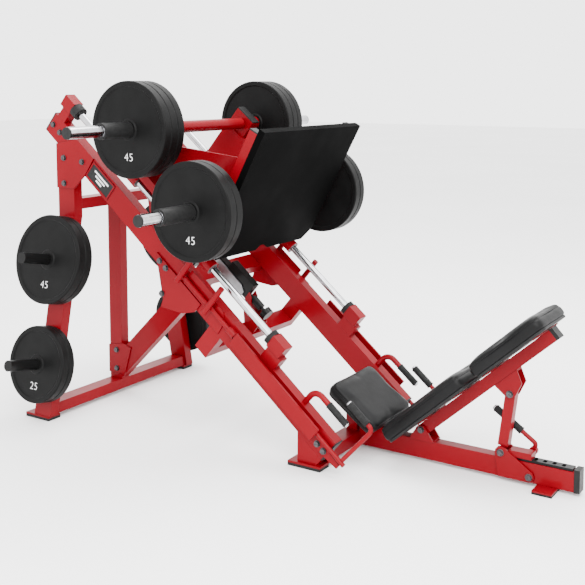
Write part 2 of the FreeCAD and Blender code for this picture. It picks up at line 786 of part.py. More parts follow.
def make_sled_side_frames():
    """Each side's beam over the bearing tubes with an upper and a lower upright."""
    pieces = []
    for side in SIDES:
        y_low = side_low(side, RAIL_INNER, size.tube_width)
        beam_low = (-1050, y_low, SLED_BEAM_LOW)
        pieces.append(tube(f"sled_beam_{side}", RAIL, beam_low, ("610", "tube_width", "40"), X_RUN))
        upper_low = (UPPER_UPRIGHT_U, y_low, SLED_BEAM_TOP)
        upper_spans = ("upright_depth", "tube_width", "upright_height")
        pieces.append(tube(f"upper_upright_{side}", RAIL, upper_low, upper_spans, Z_RUN))
        lower_low = (LOWER_UPRIGHT_U, y_low, SLED_BEAM_TOP)
        lower_spans = ("tube_depth", "tube_width", "lower_upright_height")
        pieces.append(tube(f"lower_upright_{side}", RAIL, lower_low, lower_spans, Z_RUN))
    return part(group("sled_side_frames", pieces))


def make_sled_caps():
    """Plastic plugs on the four uprights, the foot frame's side tubes and the weight horns' tips."""
    caps = []
    for side in SIDES:
        y_low = side_low(side, RAIL_INNER, size.tube_width)
        upper_low = (UPPER_UPRIGHT_U, y_low, SLED_BEAM_TOP + size.upright_height)
        upper_spans = ("upright_depth", "tube_width", "rail_cap")
        caps.append(block(f"upper_cap_{side}", RAIL, upper_low, upper_spans))
        lower_low = (LOWER_UPRIGHT_U, y_low, SLED_BEAM_TOP + size.lower_upright_height)
        caps.append(block(f"lower_cap_{side}", RAIL, lower_low, ("tube_depth", "tube_width", "rail_cap")))
        foot_low = (-FOOT_BACK, side_low(side, FOOT_TUBE_Y, size.foot_tube), FOOT_TUBE_TOP)
        caps.append(block(f"foot_cap_{side}", FOOT, foot_low, ("foot_tube", "foot_tube", "rail_cap")))
        for number, horn in enumerate(HORNS):
            start = (horn["spot"][0], side * (horn["tip"] - size.rail_cap), horn["spot"][1])
            key = f"tip_{side}_{number}"
            caps.append(cylinder(key, RAIL, start, (0, side, 0), "horn_radius - 0.5", "rail_cap"))
    return part(group("sled_caps", caps))


FOOT_BACK = size.foot_thickness + size.foot_tube
FOOT_TUBE_Y = size.foot_width / 2 - size.foot_tube
FOOT_TUBE_LOW = 250.0
FOOT_TUBE_TOP = 585.0


def make_foot_frame():
    """Rectangular frame behind the foot plate."""
    pieces = []
    for side in SIDES:
        low = (-FOOT_BACK, side_low(side, FOOT_TUBE_Y, size.foot_tube), FOOT_TUBE_LOW)
        spans = ("foot_tube", "foot_tube", f"{FOOT_TUBE_TOP - FOOT_TUBE_LOW}")
        pieces.append(tube(f"foot_side_{side}", FOOT, low, spans, Z_RUN))
    for number, height in enumerate((90, 420)):
        low = (-FOOT_BACK, -FOOT_TUBE_Y, height)
        spans = ("foot_tube", "foot_width - 2 * foot_tube", "foot_tube")
        pieces.append(tube(f"foot_bar_{number}", FOOT, low, spans, Y_RUN))
    return part(group("foot_frame", pieces))


def make_foot_plate():
    """Foot plate with cut lower corners and a notch in the middle of its lower edge."""
    half = size.foot_width / 2
    corner = size.foot_chamfer
    notch = size.foot_notch
    outline = [
        (half, corner), (half, size.foot_height), (-half, size.foot_height), (-half, corner),
        (-half + corner, 0), (-notch, 0), (-notch / 2, notch / 2), (notch / 2, notch / 2), (notch, 0),
        (half - corner, 0),
    ]
    body = doc.addObject("PartDesign::Body", "foot_plate")
    sketch = sketch_on(body, "YZ_Plane", "foot_outline")
    draw_outline(sketch, outline)
    pad = body.newObject("PartDesign::Pad", "foot_pad")
    pad.Profile = sketch
    pad.setExpression("Length", in_sheet("foot_thickness"))
    body.Placement = FOOT * Placement(Vector(-size.foot_thickness, 0, 0), Rotation())
    return part(body)


def make_sled_webs():
    """Web plates that join the uprights and side beams to the foot frame."""
    outline = [
        (-1048, SLED_BEAM_LOW), (-1048, 216), (-935, 216), foot_point(-FOOT_BACK, 440),
        foot_point(-FOOT_BACK, 20), (-440, SLED_BEAM_LOW),
    ]
    windows = [(-800, 150, 38), (-690, 190, 45)]
    webs = []
    for side in SIDES:
        y_low = side_low(side, WEB_INNER, WEB_THICKNESS)
        webs.append(plate(f"sled_web_{side}", RAIL, outline, y_low, f"{WEB_THICKNESS}", windows))
    return part(group("sled_webs", webs))


def make_sled_cross_tubes():
    """Round tubes between the webs, in line with the weight horns."""
    radii = ("cross_radius", "cross_radius - 4")
    pieces = []
    for number, horn in enumerate(HORNS):
        along, above = horn["spot"]
        start = (along, -WEB_INNER, above)
        pieces.append(pipe(f"sled_cross_{number}", RAIL, start, (0, 1, 0), radii, f"{2 * WEB_INNER}"))
    return part(group("sled_cross_tubes", pieces))


def make_horns():
    """Chromed weight horns with painted roots, spring collars and their plates."""
    horns = []
    roots = []
    collars = []
    stacks = []
    for horn in HORNS:
        along, above = horn["spot"]
        stack_end = horn["stack"] + horn["count"] * size.plate_thickness
        for side in SIDES:
            key = f"{int(-along)}_{side}"
            outward = (0, side, 0)
            spot = {name: (along, side * reach, above) for name, reach in (
                ("root", RAIL_OUTER), ("collar", stack_end + PLATE_GAP), ("groove", horn["collar"]),
            )}
            length = horn["tip"] - size.rail_cap - RAIL_OUTER
            bar = cylinder(f"horn_bar_{key}", RAIL, spot["root"], outward, "horn_radius", f"{length}")
            ring = ("horn_radius + 1", "horn_radius - 1")
            groove = pipe(f"horn_groove_{key}", RAIL, spot["groove"], outward, ring, f"{COLLAR_GROOVE}")
            horns.append(cut(f"horn_{key}", bar, groove))
            root_radii = ("root_radius", "horn_radius")
            root_length = f"{horn['stack'] - PLATE_GAP - RAIL_OUTER}"
            roots.append(pipe(f"root_{key}", RAIL, spot["root"], outward, root_radii, root_length))
            collar_radii = ("collar_radius", "horn_radius")
            collar_length = f"{horn['collar'] - stack_end - PLATE_GAP}"
            collars.append(pipe(f"collar_{key}", RAIL, spot["collar"], outward, collar_radii, collar_length))
            for layer in range(horn["count"]):
                base = Vector(along, side * (horn["stack"] + layer * size.plate_thickness), above)
                place = RAIL * Placement(base, Rotation(Vector(0, 0, 1), Vector(*outward)))
                thickness = size.plate_thickness - PLATE_GAP
                stacks.append(weight_plate(f"plate_{key}_{layer}", place, size.plate_radius, thickness))
    part(group("weight_horns", horns))
    part(group("horn_roots", roots))
    part(group("spring_collars", collars))
    part(group("weight_plates", stacks))


# ---- Backrest, strut and trolley ----------------------------------------------------------------

BACK_BEAM_TOP = 20.0
BACK_BEAM_START = -20.0
PAD_BASE = BACK_BEAM_TOP + 5.0
STRUT_PIVOT = (412.0, -86.0)
PIVOT_GAP = 2.0
EAR = 8.0


def make_backrest_bracket():
    """U bracket on the base beam whose ears hold the backrest's pin."""
    ear_inner = HALF_TUBE + PIVOT_GAP
    outline = [(560, BEAM_TOP), (592, 140), (600, 152), (624, 152), (632, 142), (668, BEAM_TOP)]
    holes = [(BACK_PIVOT.x, BACK_PIVOT.z, size.pin_radius)]
    ears = []
    for side in SIDES:
        y_low = side_low(side, ear_inner, EAR)
        ears.append(plate(f"bracket_ear_{side}", WORLD, outline, y_low, f"{EAR}", holes))
    base = block("bracket_base", WORLD, (560, -ear_inner, BEAM_TOP), ("108", f"{2 * ear_inner}", "6"))
    return part(fused("backrest_bracket", ears + [base]))


def cross_pin(name, frame, spot, reach):
    """Pin along Y with a washer and a hexagon head at each end."""
    x, z = spot
    shank = cylinder(name + "_shank", frame, (x, -reach, z), (0, 1, 0), "pin_radius", f"{2 * reach}")
    heads = [bolt(f"{name}_end_{side}", frame, (x, side * reach, z), (0, side, 0)) for side in SIDES]
    return part(fused(name, [shank] + heads))


def make_backrest_beam():
    """Backrest beam with its pivot bore, its end cap and the ears for the strut."""
    low = (BACK_BEAM_START, -HALF_TUBE, BACK_BEAM_TOP - size.back_beam_depth)
    spans = ("back_beam_length", "tube_width", "back_beam_depth")
    shell = tube("back_beam_shell", BACK, low, spans, X_RUN)
    pivot = (0, -HALF_TUBE, 0)
    sleeve = cylinder("back_pivot_sleeve", BACK, pivot, (0, 1, 0), "pin_radius + 6", "tube_width")
    bore = cylinder("back_pivot_bore", BACK, pivot, (0, 1, 0), "pin_radius + pin_clearance", "tube_width")
    under = BACK_BEAM_TOP - size.back_beam_depth
    u, v = STRUT_PIVOT
    outline = [(u - 30, under), (u + 85, under), (u + 66, v + 4), (u + 10, v - 20), (u - 18, v - 10)]
    hole = [(u, v, size.pin_radius)]
    ears = []
    for side in SIDES:
        ears.append(plate(f"strut_ear_{side}", BACK, outline, side_low(side, 21, 6), "6", hole))
    web = block("strut_ear_web", BACK, (u + 40, -21, under - 6), ("45", "42", "6"))
    body = fused("back_beam_body", [shell, sleeve] + ears + [web])
    part(cut("backrest_beam", body, bore))
    low = (BACK_BEAM_START + size.back_beam_length, -HALF_TUBE, under)
    part(block("backrest_cap", BACK, low, ("15", "tube_width", "back_beam_depth")))


PAD_BARS = (48.0, 245.0, 405.0, 660.0)
LOWER_PAD = (-92.0, 430.0, 334.0)
UPPER_PAD = (380.0, 358.0, 300.0)


def make_back_pads():
    """Flat bars across the backrest beam and the two cushions on them."""
    bars = []
    for number, along in enumerate(PAD_BARS):
        low = (along, -110, BACK_BEAM_TOP)
        bars.append(block(f"pad_bar_{number}", BACK, low, ("30", "220", f"{PAD_BASE - BACK_BEAM_TOP}")))
    part(group("pad_bars", bars))
    for label, (start, length, width) in (("back_pad_lower", LOWER_PAD), ("back_pad_upper", UPPER_PAD)):
        low = (start, -width / 2, PAD_BASE)
        part(block(label, BACK, low, (str(length), str(width), "back_cushion")))


def make_strut():
    """Strut from the backrest's ears down between the trolley's cheeks."""
    top = BACK.multVec(Vector(STRUT_PIVOT[0], 0, STRUT_PIVOT[1]))
    foot = Vector(948, 0, 110)
    lean = math.degrees(math.atan2(top.x - foot.x, top.z - foot.z))
    frame = tilted_frame(top.x, top.z, lean)
    half = size.strut_width / 2
    spans = ("strut_width", "strut_width", "strut_length")
    shell = tube("strut_shell", frame, (-half, -half, 18 - size.strut_length), spans, Z_RUN)
    sleeve = cylinder("strut_sleeve", frame, (0, -half, 0), (0, 1, 0), "pin_radius + 6", "strut_width")
    bore_radius = "pin_radius + pin_clearance"
    bore = cylinder("strut_bore", frame, (0, -half, 0), (0, 1, 0), bore_radius, "strut_width")
    return part(cut("strut", fused("strut_body", [shell, sleeve]), bore))


TROLLEY_EYE = (948.0, 110.0)
TROLLEY_NOSE = (1062.0, 36.0)
CHEEK_INNER = HALF_TUBE + 1.0
CHEEK = 8.0
LEVER_SPOT = (1052.0, 114.0)


def make_trolley():
    """Trolley astride the base beam: two cheeks, the saddle over the rack and their bolts."""
    eye_x, eye_z = TROLLEY_EYE
    nose_x, nose_z = TROLLEY_NOSE
    outline = [
        (eye_x - 22, eye_z - 8), (eye_x - 22, eye_z + 10), (eye_x - 10, eye_z + 24), (eye_x + 10, eye_z + 24),
        (nose_x + 14, nose_z + 18), (nose_x + 20, nose_z), (nose_x + 14, nose_z - 16), (nose_x, nose_z - 20),
        (eye_x - 8, nose_z - 20),
    ]
    cheeks = []
    for side in SIDES:
        y_low = side_low(side, CHEEK_INNER, CHEEK)
        cheeks.append(plate(f"cheek_{side}", WORLD, outline, y_low, f"{CHEEK}"))
    saddle_low = (eye_x + 30, -CHEEK_INNER, BEAM_TOP + 10.6)
    saddle = block("saddle", WORLD, saddle_low, ("90", f"{2 * CHEEK_INNER}", "24"))
    bolts = [
        bolt(f"trolley_bolt_{side}_{n}", WORLD, (x, side * (CHEEK_INNER + CHEEK), z), (0, side, 0))
        for side in SIDES
        for n, (x, z) in enumerate((TROLLEY_EYE, TROLLEY_NOSE))
    ]
    x, z = LEVER_SPOT
    stub = cylinder("lever_stub", WORLD, (x, CHEEK_INNER, z), (0, 1, 0), "pin_radius - 1", "34")
    return part(fused("trolley", cheeks + [saddle, stub] + bolts))


def make_adjuster_lever():
    """Spring-latch lever on the trolley's stub, bent back beside the strut, with its grip."""
    x, z = LEVER_SPOT
    y = 48.0
    start = Placement(Vector(x, y, z), Rotation(Vector(0, 0, 1), Vector(0.3, 0, 0.954)))
    boss = cylinder("lever_boss", WORLD, (x, y - 10, z), (0, 1, 0), "pin_radius + 8", "20")
    bend, end = (0, 30), (-66, 50)
    rod = bent_rod("lever_rod", start, [bend, end], "lever_radius", 14)
    hole_radius = "pin_radius - 1 + pin_clearance"
    hole = cylinder("lever_hole", WORLD, (x, y - 12, z), (0, 1, 0), hole_radius, "24")
    part(cut("adjuster_lever", fused("lever_body", [boss, rod]), hole))
    tip = start.multVec(Vector(end[0], 0, end[1]))
    run = start.Rotation.multVec(Vector(end[0] - bend[0], 0, end[1] - bend[1]))
    part(cylinder("adjuster_grip", WORLD, tuple(tip), tuple(run), "grip_radius", "grip_length + 28"))


# ---- Centre damper and bolts --------------------------------------------------------------------

DAMPER_V = -150.0
PLATE_SIDE = 26.5


def make_damper():
    """Shock absorber between the two cross members under the sled, and its side plate."""
    saddle = block("damper_saddle", RAIL, (CROSS_U, -20, CROSS_TOP), ("76", "40", "58"))
    sleeve = block("damper_sleeve", RAIL, (-464, -20, DAMPER_V - 22), ("154", "40", "80"))
    rod = cylinder("damper_shaft", RAIL, (-310, 0, DAMPER_V), (1, 0, 0), "damper_rod_radius", "110")
    spring = cylinder("damper_spring", RAIL, (-285, 0, DAMPER_V), (1, 0, 0), "damper_radius - 6", "60")
    stop = cylinder("damper_stop", RAIL, (-205, 0, DAMPER_V), (1, 0, 0), "damper_radius + 4", "26")
    part(fused("centre_damper", [saddle, sleeve, rod, spring, stop]))
    outline = [(-530, -178), (-530, -134), (-360, -134), (-330, -150), (-330, -178)]
    part(plate("damper_plate", RAIL, outline, -PLATE_SIDE, "6"))


def make_frame_bolts():
    """Bolt heads on the gussets, the post bracket, the rail ends and the carrier straps."""
    pieces = []
    gusset_face = RAIL_OUTER + size.gusset_thickness
    for side in SIDES:
        outward = (0, side, 0)
        spots = [(WORLD, x, gusset_face, z) for x, z in TOP_GUSSET_BOLTS]
        spots += [(RAIL, u, gusset_face, v) for u, v in MID_GUSSET_BOLTS]
        spots += [(RAIL, u, RAIL_OUTER, -134) for u in (-1462, -1407)]
        spots += [(RAIL, u, RAIL_OUTER + 10, -142) for u in (425, 462)]
        spots += [(WORLD, x, HALF_TUBE + 6, z) for x, z in ((-1040, 215), (-1040, 122))]
        for number, (frame, x, y, z) in enumerate(spots):
            pieces.append(bolt(f"frame_bolt_{side}_{number}", frame, (x, side * y, z), outward))
    return part(group("frame_bolts", pieces))


# ---- Build and write ----------------------------------------------------------------------------

def build():
    """Make every sub-part, from the rear frame to the fittings."""
    make_end_caps()
    make_rear_legs()
    make_rear_cross_tubes()
    make_centre_post()
    make_post_bracket()
    make_brace()
    make_under_rail_cross_tubes()
    make_gussets()
    make_rod_brackets()
    make_guide_rods()
    make_rod_bumpers()
    make_front_cross_frame()
    make_feet()
    make_base_beam()
    make_adjuster_rack()
    make_seat()
    make_storage()
    make_name_plate()
    make_grab_handles()
    make_stop_blocks()
    make_stop_guards()
    for side, key in zip(SIDES, ("left", "right")):
        make_stop_shaft(side, f"stop_shaft_{key}")
        make_release_lever(side, key)
    make_guides()
    make_sled_side_frames()
    make_sled_caps()
    make_foot_frame()
    make_foot_plate()
    make_sled_webs()
    make_sled_cross_tubes()
    make_horns()
    make_backrest_bracket()
    cross_pin("backrest_pin", WORLD, (BACK_PIVOT.x, BACK_PIVOT.z), HALF_TUBE + PIVOT_GAP + EAR)
    make_backrest_beam()
    cross_pin("strut_pin", BACK, STRUT_PIVOT, 27)
    make_back_pads()
    make_strut()
    make_trolley()
    make_adjuster_lever()
    make_damper()
    make_frame_bolts()


def check_and_write():
    """Stop on any failed object, then write each sub-part's STEP file."""
    for item in doc.Objects:
        if "Invalid" in item.State or "Error" in item.State:
            raise RuntimeError(f"{item.Name} failed: {item.State}")
    os.makedirs("parts", exist_ok=True)
    for item in parts:
        if item.Shape.isNull() or not item.Shape.isValid():
            raise RuntimeError(f"{item.Label} has no valid shape")
        item.Shape.exportStep(f"parts/{item.Label}.step")
    whole = Part.makeCompound([item.Shape for item in parts]).BoundBox
    print(len(parts), "parts", [round(edge, 1) for edge in (whole.XMin, whole.XMax, whole.YMin, whole.YMax,
                                                            whole.ZMin, whole.ZMax)])


build()
doc.recompute()
check_and_write()
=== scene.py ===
"""Looks of the leg press: upholstered pads, grips, markings, materials, light and camera, in metres."""

import json
import math

import bmesh
import bpy
from mathutils import Euler, Matrix, Vector
from mathutils.bvhtree import BVHTree


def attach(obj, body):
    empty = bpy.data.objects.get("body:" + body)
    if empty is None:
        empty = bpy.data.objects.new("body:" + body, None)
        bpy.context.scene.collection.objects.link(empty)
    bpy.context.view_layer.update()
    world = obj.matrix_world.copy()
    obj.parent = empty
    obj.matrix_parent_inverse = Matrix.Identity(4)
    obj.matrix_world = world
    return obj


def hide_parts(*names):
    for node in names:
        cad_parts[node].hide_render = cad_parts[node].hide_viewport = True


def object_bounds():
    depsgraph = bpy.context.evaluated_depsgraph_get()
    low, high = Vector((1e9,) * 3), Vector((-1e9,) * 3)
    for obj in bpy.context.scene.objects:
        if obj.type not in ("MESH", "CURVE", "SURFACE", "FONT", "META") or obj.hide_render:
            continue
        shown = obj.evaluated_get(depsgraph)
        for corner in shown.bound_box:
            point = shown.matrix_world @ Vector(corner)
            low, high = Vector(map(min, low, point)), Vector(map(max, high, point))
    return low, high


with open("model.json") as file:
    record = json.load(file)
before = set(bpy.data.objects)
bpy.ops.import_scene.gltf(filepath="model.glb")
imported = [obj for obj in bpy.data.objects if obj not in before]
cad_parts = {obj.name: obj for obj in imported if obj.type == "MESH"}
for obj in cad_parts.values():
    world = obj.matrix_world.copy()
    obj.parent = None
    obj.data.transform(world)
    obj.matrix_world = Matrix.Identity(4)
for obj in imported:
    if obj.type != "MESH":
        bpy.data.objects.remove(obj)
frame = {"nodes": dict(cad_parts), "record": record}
nodes = frame["nodes"]
cad_low, cad_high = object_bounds()

RAIL_SLOPE = math.radians(40.14)
SEAT_SLOPE = math.radians(35.6)
BACK_SLOPE = math.radians(-41.6)


# ---- Local frames -------------------------------------------------------------------------------

def tilt(angle):
    """Rotation whose x axis is turned down from +X by the angle, about +Y."""
    return Matrix.Rotation(angle, 4, "Y")


def local_box(corners, turn):
    """Lowest and highest corner of points seen in the turned frame."""
    seen = [turn.inverted() @ corner for corner in corners]
    low = Vector([min(spot[axis] for spot in seen) for axis in range(3)])
    high = Vector([max(spot[axis] for spot in seen) for axis in range(3)])
    return low, high


def node_box(node, turn):
    """Lowest and highest corner of a CAD node seen in the turned frame."""
    return local_box([vertex.co for vertex in nodes[node].data.vertices], turn)


def solids(node):
    """Vertex positions of each separate solid of a CAD node."""
    mesh = bmesh.new()
    mesh.from_mesh(nodes[node].data)
    bmesh.ops.remove_doubles(mesh, verts=mesh.verts, dist=1e-5)
    found = []
    left = set(mesh.verts)
    while left:
        stack = [left.pop()]
        island = []
        while stack:
            vertex = stack.pop()
            island.append(vertex.co.copy())
            for edge in vertex.link_edges:
                other = edge.other_vert(vertex)
                if other in left:
                    left.remove(other)
                    stack.append(other)
        found.append(island)
    mesh.free()
    return found


# ---- Materials ----------------------------------------------------------------------------------

class Surface:
    """A Principled material with helpers for procedural colour, roughness and bump."""

    def __init__(self, name, **sockets):
        self.material = bpy.data.materials.new(name)
        self.material.use_nodes = True
        self.tree = self.material.node_tree
        self.shader = self.tree.nodes["Principled BSDF"]
        for socket, value in sockets.items():
            self.shader.inputs[socket.replace("_", " ")].default_value = value
        coordinates = self.tree.nodes.new("ShaderNodeTexCoord")
        self.coordinates = coordinates.outputs["Object"]
        self.normal = None

    def link(self, source, target):
        self.tree.links.new(source, target)

    def stretched(self, scale):
        """Object coordinates scaled unevenly, for brushed or drawn marks."""
        mapping = self.tree.nodes.new("ShaderNodeMapping")
        mapping.inputs["Scale"].default_value = scale
        self.link(self.coordinates, mapping.inputs["Vector"])
        return mapping.outputs["Vector"]

    def noise(self, scale, detail=3.0, coordinates=None):
        texture = self.tree.nodes.new("ShaderNodeTexNoise")
        texture.inputs["Scale"].default_value = scale
        texture.inputs["Detail"].default_value = detail
        self.link(coordinates or self.coordinates, texture.inputs["Vector"])
        return texture.outputs["Fac"]

    def cells(self, scale):
        texture = self.tree.nodes.new("ShaderNodeTexVoronoi")
        texture.feature = "DISTANCE_TO_EDGE"
        texture.inputs["Scale"].default_value = scale
        self.link(self.coordinates, texture.inputs["Vector"])
        return texture.outputs["Distance"]

    def ramp(self, source, low, high, start=0.3, end=0.7):
        """Colour ramp between two colours."""
        ramp = self.tree.nodes.new("ShaderNodeValToRGB")
        ramp.color_ramp.elements[0].position = start
        ramp.color_ramp.elements[0].color = (*low, 1)
        ramp.color_ramp.elements[1].position = end
        ramp.color_ramp.elements[1].color = (*high, 1)
        self.link(source, ramp.inputs["Fac"])
        return ramp.outputs["Color"]

    def colour(self, source, low, high, start=0.3, end=0.7):
        self.link(self.ramp(source, low, high, start, end), self.shader.inputs["Base Color"])

    def roughness(self, source, low, high):
        mapped = self.tree.nodes.new("ShaderNodeMapRange")
        mapped.inputs["From Min"].default_value = 0.3
        mapped.inputs["From Max"].default_value = 0.7
        mapped.inputs["To Min"].default_value = low
        mapped.inputs["To Max"].default_value = high
        self.link(source, mapped.inputs["Value"])
        self.link(mapped.outputs["Result"], self.shader.inputs["Roughness"])

    def soften_edges(self, radius):
        """Rounds the sharp edges in the shading, as a rolled tube's or a moulding's are."""
        bevel = self.tree.nodes.new("ShaderNodeBevel")
        bevel.samples = 6
        bevel.inputs["Radius"].default_value = radius
        self.normal = bevel.outputs["Normal"]
        self.link(self.normal, self.shader.inputs["Normal"])

    def bump(self, source, distance, strength=0.5):
        bump = self.tree.nodes.new("ShaderNodeBump")
        bump.inputs["Strength"].default_value = strength
        bump.inputs["Distance"].default_value = distance
        self.link(source, bump.inputs["Height"])
        if self.normal:
            self.link(self.normal, bump.inputs["Normal"])
        self.normal = bump.outputs["Normal"]
        self.link(self.normal, self.shader.inputs["Normal"])


def powder_coat(name, dark, bright, gloss):
    """Powder coat with orange peel, faint cloudiness and patches of duller handling wear."""
    paint = Surface(name, Coat_Weight=gloss, Coat_Roughness=0.15, Coat_IOR=1.35, Specular_IOR_Level=0.04)
    paint.colour(paint.noise(5.0), dark, bright)
    paint.roughness(paint.noise(9.0, 6.0), 0.3, 0.46)
    paint.soften_edges(0.003)
    paint.bump(paint.noise(420.0, 2.0), 0.0003, 0.3)
    return paint.material


def polished_chrome():
    """Chrome with a hint of lengthwise polishing marks."""
    metal = Surface("chrome_polish", Metallic=1.0)
    metal.colour(metal.noise(40.0), (0.34, 0.34, 0.35), (0.46, 0.46, 0.48))
    metal.roughness(metal.noise(60.0, 5.0, metal.stretched((1, 9, 9))), 0.08, 0.2)
    metal.bump(metal.noise(800.0, 2.0), 0.00005, 0.2)
    return metal.material


def zinc_plate():
    """Zinc-plated fasteners, dulled by handling."""
    metal = Surface("zinc_plating", Metallic=1.0)
    metal.colour(metal.noise(160.0), (0.035, 0.033, 0.035), (0.08, 0.078, 0.082))
    metal.roughness(metal.noise(300.0, 4.0), 0.3, 0.5)
    metal.soften_edges(0.0008)
    metal.bump(metal.noise(900.0), 0.0001, 0.3)
    return metal.material


def brushed_steel():
    """Bare steel plate with lengthwise brush marks."""
    metal = Surface("steel_brushed", Metallic=1.0)
    metal.colour(metal.noise(30.0), (0.2, 0.2, 0.205), (0.27, 0.27, 0.28))
    metal.roughness(metal.noise(200.0, 4.0, metal.stretched((1, 1, 6))), 0.35, 0.5)
    metal.bump(metal.noise(500.0), 0.0001, 0.3)
    return metal.material


def black_rubber(name="rubber_black", shade=0.004):
    """Moulded rubber with a fine grain."""
    rubber = Surface(name, Specular_IOR_Level=0.15)
    rubber.colour(rubber.noise(60.0, 5.0), (shade,) * 3, (shade * 2.1,) * 3)
    rubber.roughness(rubber.noise(90.0), 0.55, 0.78)
    rubber.soften_edges(0.0018)
    rubber.bump(rubber.noise(1100.0, 2.0), 0.0003, 0.5)
    return rubber.material


def coated_disc():
    """Urethane-coated iron disc: smooth satin black with faint mould flow."""
    coat = Surface("disc_coating", Specular_IOR_Level=0.07)
    coat.colour(coat.noise(14.0, 5.0), (0.002,) * 3, (0.0035,) * 3)
    coat.roughness(coat.noise(25.0, 5.0), 0.42, 0.52)
    coat.soften_edges(0.0025)
    coat.bump(coat.noise(700.0, 3.0), 0.0001, 0.3)
    return coat.material


def moulded_plastic():
    plastic = Surface("plastic_black", Specular_IOR_Level=0.13)
    plastic.colour(plastic.noise(70.0, 4.0), (0.006,) * 3, (0.010,) * 3)
    plastic.roughness(plastic.noise(120.0), 0.4, 0.55)
    plastic.soften_edges(0.0015)
    plastic.bump(plastic.cells(900.0), 0.0001, 0.2)
    return plastic.material


def bushing_nylon():
    """Black bearing nylon, slightly polished by the rods."""
    plastic = Surface("nylon_black", Specular_IOR_Level=0.3)
    plastic.colour(plastic.noise(50.0), (0.005,) * 3, (0.012,) * 3)
    plastic.roughness(plastic.noise(80.0), 0.35, 0.5)
    plastic.bump(plastic.noise(600.0), 0.0001, 0.3)
    return plastic.material


def foot_board():
    """Black grip coating: coarse pebbled skin with scuffed patches."""
    board = Surface("foot_grip", Specular_IOR_Level=0.012)
    board.colour(board.noise(4.0, 6.0), (0.0009,) * 3, (0.0015,) * 3)
    board.roughness(board.noise(8.0, 6.0), 0.6, 0.72)
    board.bump(board.cells(420.0), 0.0004, 0.4)
    return board.material


def vinyl():
    """Black upholstery vinyl with leather grain and soft creases."""
    skin = Surface("vinyl_black", Specular_IOR_Level=0.09)
    skin.colour(skin.noise(9.0, 5.0), (0.003, 0.003, 0.0031), (0.0048, 0.0048, 0.005))
    skin.roughness(skin.noise(30.0, 4.0), 0.4, 0.5)
    skin.bump(skin.noise(14.0, 2.0), 0.0005, 0.2)
    skin.bump(skin.cells(620.0), 0.0003, 0.35)
    return skin.material


def stitching():
    thread = Surface("thread_grey", Specular_IOR_Level=0.3)
    thread.colour(thread.noise(900.0), (0.05,) * 3, (0.11,) * 3)
    thread.roughness(thread.noise(500.0), 0.6, 0.85)
    thread.bump(thread.noise(1500.0), 0.0002, 0.6)
    return thread.material


def white_print():
    ink = Surface("print_white", Specular_IOR_Level=0.4)
    ink.colour(ink.noise(220.0, 5.0), (0.62,) * 3, (0.8,) * 3)
    ink.roughness(ink.noise(300.0), 0.5, 0.7)
    return ink.material


RED = powder_coat("powder_coat_red", (0.125, 0.0, 0.003), (0.145, 0.0, 0.004), 0.18)
BLACK_COAT = powder_coat("powder_coat_black", (0.003,) * 3, (0.005,) * 3, 0.25)
CHROME = polished_chrome()
ZINC = zinc_plate()
STEEL = brushed_steel()
RUBBER = black_rubber()
DISC = coated_disc()
PLASTIC = moulded_plastic()
NYLON = bushing_nylon()
FOOT_GRIP = foot_board()
VINYL = vinyl()
THREAD = stitching()
INK = white_print()

SLOT_MATERIALS = {
    "red_paint": RED,
    "black_paint": BLACK_COAT,
    "black_plastic": PLASTIC,
    "chrome": CHROME,
    "rubber": RUBBER,
    "plate_iron": DISC,
    "zinc": ZINC,
    "upholstery": VINYL,
    "foot_board": FOOT_GRIP,
    "bushing_nylon": NYLON,
    "badge": PLASTIC,
}


def dress(obj, material):
    """Gives the whole object one material."""
    obj.data.materials.clear()
    obj.data.materials.append(material)
    return obj


def dress_cad_nodes():
    """Each CAD node takes the material of its slot in the record."""
    for entry in frame["record"]["subparts"]:
        node = nodes[entry["node"]]
        material = SLOT_MATERIALS[entry["material_slot"]]
        for slot in node.material_slots:
            slot.material = material


# ---- Mesh helpers -------------------------------------------------------------------------------

def place_mesh(name, mesh, material, body):
    """Turns a bmesh into a piece that rides on a body."""
    data = bpy.data.meshes.new(name)
    mesh.to_mesh(data)
    mesh.free()
    for face in data.polygons:
        face.use_smooth = True
    obj = bpy.data.objects.new(name, data)
    bpy.context.scene.collection.objects.link(obj)
    dress(obj, material)
    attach(obj, body)
    return obj


def apply_modifiers(obj):
    bpy.context.view_layer.update()
    graph = bpy.context.evaluated_depsgraph_get()
    data = bpy.data.meshes.new_from_object(obj.evaluated_get(graph))
    obj.modifiers.clear()
    obj.data = data


def rounded_rectangle(half_x, half_y, radius, steps=8):
    """Points round a rectangle with round corners."""
    points = []
    for corner, (sign_x, sign_y) in enumerate(((1, 1), (-1, 1), (-1, -1), (1, -1))):
        for step in range(steps + 1):
            angle = math.pi / 2 * (corner + step / steps)
            x = sign_x * (half_x - radius) + radius * math.cos(angle)
            y = sign_y * (half_y - radius) + radius * math.sin(angle)
            points.append((x, y))
    return points


# ---- Cushions -----------------------------------------------------------------------------------

PUFF = 0.006
BOARD = 0.010
SEAM_DROP = 0.017


